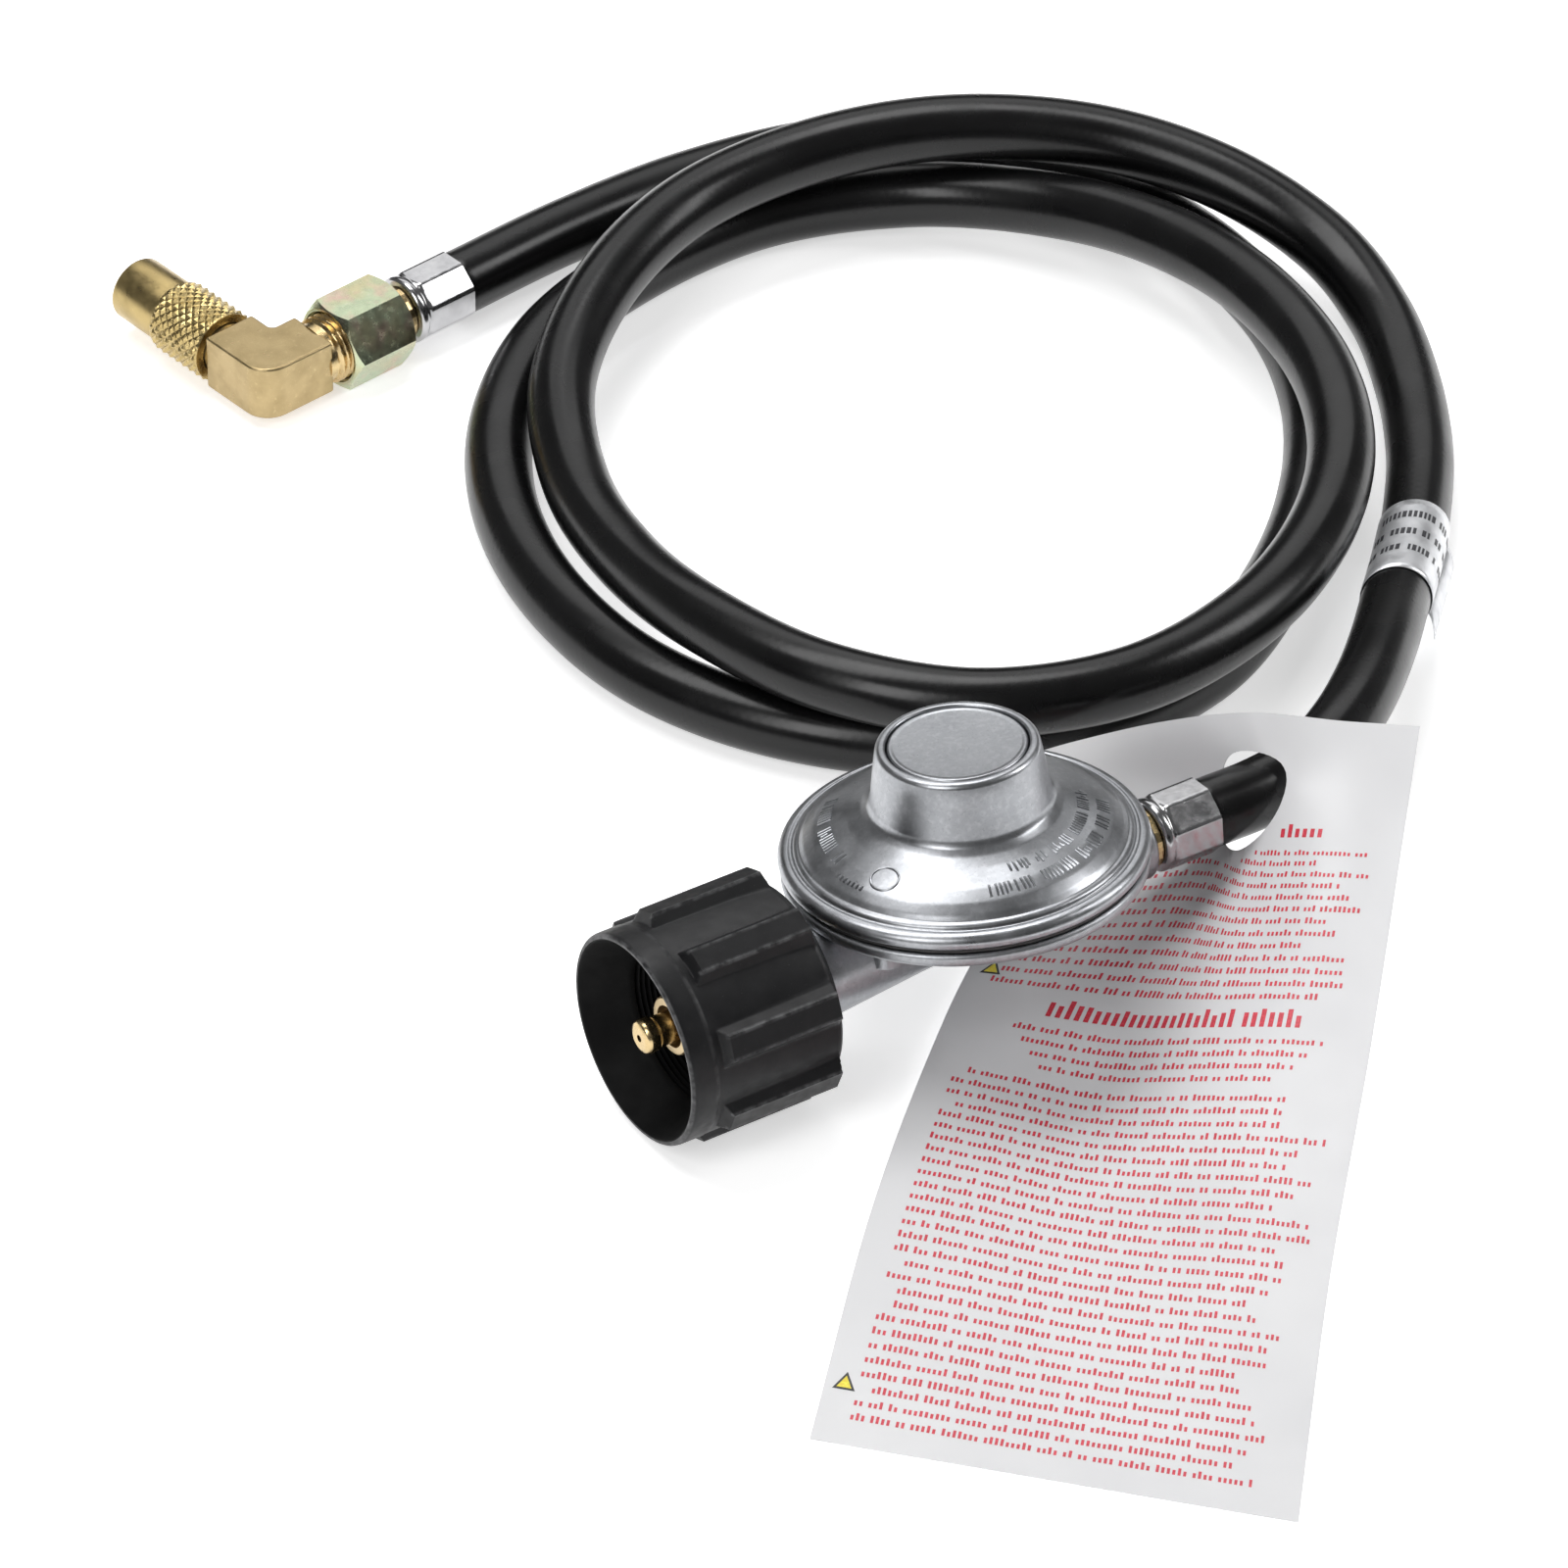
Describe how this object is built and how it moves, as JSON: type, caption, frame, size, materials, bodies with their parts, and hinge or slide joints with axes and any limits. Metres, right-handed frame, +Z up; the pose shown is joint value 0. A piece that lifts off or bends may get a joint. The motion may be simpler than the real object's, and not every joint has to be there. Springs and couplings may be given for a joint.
{
  "type": "propane regulator hose",
  "caption": "Low-pressure propane regulator with hand nut, crimped rubber hose, swivel elbow nozzle and a threaded-on paper tag.",
  "frame": {"origin": "under the middle of the regulator (its box without the hose, the far fitting and the tag), on the surface that it lies on", "axes": "+X along the gas path from the cylinder nut to the hose, +Z up, +Y to the left of the gas path"},
  "size_m": [0.3179, 0.4768, 0.0656],
  "materials": {
    "regulator_body": "die-cast zinc, dull, fine sandy skin",
    "bonnet": "die-cast zinc, grey, fine skin",
    "tower_cap": "die-cast zinc, dull, fine sandy skin",
    "diaphragm": "nitrile rubber",
    "diaphragm_plate": "plated steel",
    "diaphragm_stem": "turned brass, satin",
    "adjusting_screw": "plated steel",
    "main_spring": "plated steel",
    "orifice_seat": "turned brass, satin",
    "valve_plunger": "turned brass, satin",
    "valve_seat_disc": "nitrile rubber",
    "lever": "plated steel",
    "lever_pin": "plated steel",
    "lever_bracket": "plated steel",
    "bracket_screw": "plated steel",
    "coupling_nut": "black moulded thermoplastic, satin, edges worn lighter",
    "thermal_bushing": "black moulded thermoplastic",
    "inlet_nipple": "turned brass, satin",
    "probe": "turned brass, satin",
    "flow_plunger": "turned brass, satin",
    "hose_barb": "turned brass, satin",
    "regulator_ferrule": "bright plated steel, crimped",
    "hose": "black thermoplastic rubber, satin",
    "foil_label": "silver foil label",
    "paper_tag": "white coated paper, semi-gloss",
    "fitting_ferrule": "bright plated steel, crimped",
    "hose_stem": "turned brass, satin",
    "flare_nut": "yellow-zinc plated steel",
    "elbow": "turned brass, satin",
    "nozzle_sleeve": "turned brass, satin",
    "gas_jet": "turned brass, satin"
  },
  "bodies": {
    "regulator": {"regulator_body": "regulator_body", "bonnet": "bonnet", "tower_cap": "tower_cap", "adjusting_screw": "adjusting_screw", "main_spring": "main_spring", "diaphragm": "diaphragm", "lever_pin": "lever_pin", "lever_bracket": "lever_bracket", "bracket_screw": "bracket_screw", "orifice_seat": "orifice_seat", "inlet_nipple": "inlet_nipple", "probe": "probe", "hose_barb": "hose_barb", "regulator_ferrule": "regulator_ferrule", "hose": "hose", "foil_label": "foil_label", "paper_tag": "paper_tag", "fitting_ferrule": "fitting_ferrule", "hose_stem": "hose_stem"},
    "nut": {"coupling_nut": "coupling_nut", "thermal_bushing": "thermal_bushing"},
    "diaphragm_centre": {"diaphragm_plate": "diaphragm_plate", "diaphragm_stem": "diaphragm_stem"},
    "lever": {"lever": "lever"},
    "valve": {"valve_plunger": "valve_plunger", "valve_seat_disc": "valve_seat_disc"},
    "flow_plunger": {"flow_plunger": "flow_plunger"},
    "flare_nut": {"flare_nut": "flare_nut"},
    "elbow": {"elbow": "elbow", "nozzle_sleeve": "nozzle_sleeve", "gas_jet": "gas_jet"}
  },
  "joints": [
    {"name": "nut_spin", "type": "hinge", "parent": "regulator", "child": "nut", "pos_m": [-0.05, -0.0016, 0.0242], "axis": [1, 0, 0], "continuous": true},
    {"name": "diaphragm_slide", "type": "slide", "parent": "regulator", "child": "diaphragm_centre", "axis": [0, 0.1253, 0.9921], "range_m": [-0.001, 0.001], "stiffness_N_per_m": 900, "deforming": ["main_spring"]},
    {"name": "lever_pivot", "type": "hinge", "parent": "regulator", "child": "lever", "pos_m": [0, -0.00193, 0.02162], "axis": [0, -0.9921, 0.1253], "range_deg": [-5.1, 5.1]},
    {"name": "valve_slide", "type": "slide", "parent": "regulator", "child": "valve", "axis": [-1, 0, 0], "range_m": [-0.00025, 0.00025]},
    {"name": "flow_plunger_slide", "type": "slide", "parent": "regulator", "child": "flow_plunger", "axis": [1, 0, 0], "range_m": [0, 0.0015]},
    {"name": "flare_nut_spin", "type": "hinge", "parent": "regulator", "child": "flare_nut", "pos_m": [0.02114, 0.26127, 0.0096], "axis": [-0.9877, -0.1564, 0], "continuous": true},
    {"name": "elbow_swivel", "type": "hinge", "parent": "regulator", "child": "elbow", "pos_m": [0.01294, 0.25997, 0.0096], "axis": [-0.9877, -0.1564, 0], "continuous": true}
  ],
  "couplings": [
    {"joint": "lever_pivot", "follows": "diaphragm_slide", "rad_per_m": 87.719},
    {"joint": "valve_slide", "follows": "diaphragm_slide", "ratio": 0.2281}
  ]
}
